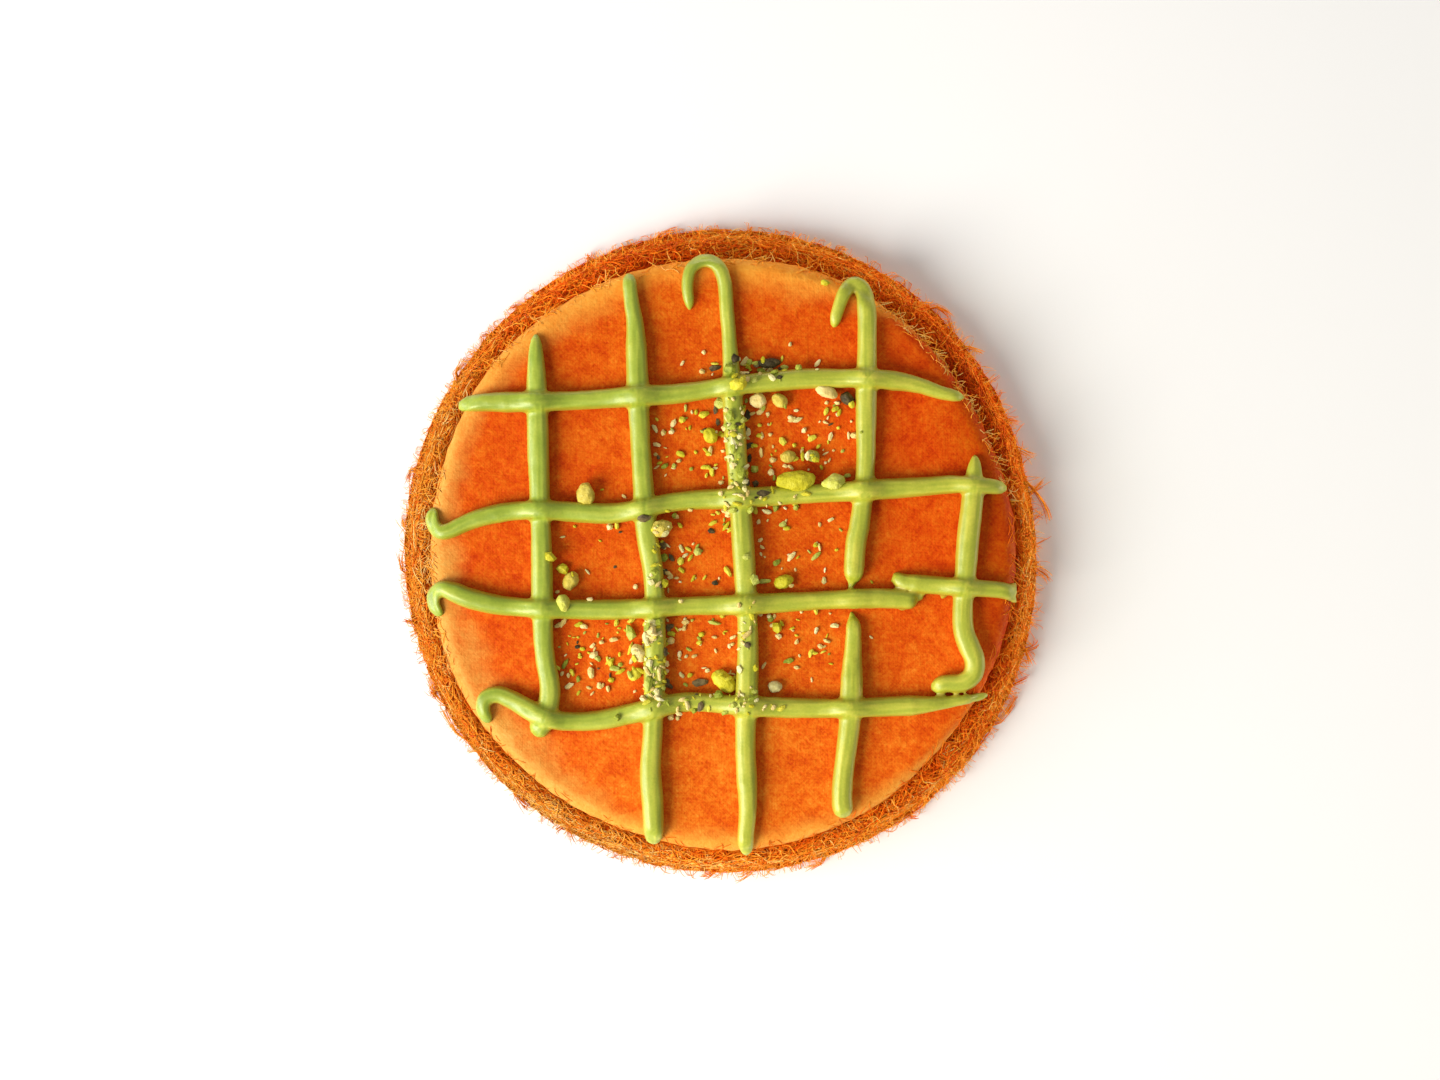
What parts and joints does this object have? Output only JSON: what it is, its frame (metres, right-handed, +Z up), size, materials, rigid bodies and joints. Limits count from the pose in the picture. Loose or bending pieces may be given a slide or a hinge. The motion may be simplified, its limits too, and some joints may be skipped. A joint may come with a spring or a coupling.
{
  "type": "kunafa",
  "caption": "Whole round kunafa: smooth orange pastry disc on a shredded pastry fringe, with a piped pistachio cream lattice and chopped pistachios.",
  "frame": {"origin": "middle of the flat underside, under the centre of the overall footprint", "axes": "+Z up; the strokes named across run along X and lie over those named along, which run along Y; the across strokes' hooked ends point to -X"},
  "size_m": [0.2682, 0.2681, 0.0382],
  "materials": {
    "pressed_pastry": "smooth, moist, fine-grained orange pastry, yellower at the rim",
    "shredded_pastry": "tangled thin baked pastry threads, red-brown to golden",
    "pistachio_cream": "soft satin piped cream",
    "pistachio": "chopped nut, yellow-green with some dark skin"
  },
  "bodies": {
    "root": {"shredded_base": "shredded_pastry", "pressed_top": "pressed_pastry", "cream_along_1": "pistachio_cream", "cream_along_2": "pistachio_cream", "cream_along_3": "pistachio_cream", "cream_along_4": "pistachio_cream", "cream_along_5": "pistachio_cream", "cream_along_6": "pistachio_cream", "cream_across_1": "pistachio_cream", "cream_across_2": "pistachio_cream", "cream_across_3": "pistachio_cream", "cream_across_4": "pistachio_cream", "cream_across_5": "pistachio_cream", "pistachio_01": "pistachio", "pistachio_02": "pistachio", "pistachio_03": "pistachio", "pistachio_04": "pistachio", "pistachio_05": "pistachio", "pistachio_06": "pistachio", "pistachio_07": "pistachio", "pistachio_08": "pistachio", "pistachio_09": "pistachio", "pistachio_10": "pistachio", "pistachio_11": "pistachio", "pistachio_12": "pistachio", "pistachio_13": "pistachio", "pistachio_14": "pistachio", "pistachio_15": "pistachio", "pistachio_16": "pistachio", "pistachio_17": "pistachio", "pistachio_18": "pistachio", "pistachio_19": "pistachio", "pistachio_20": "pistachio", "pistachio_21": "pistachio"}
  },
  "joints": []
}
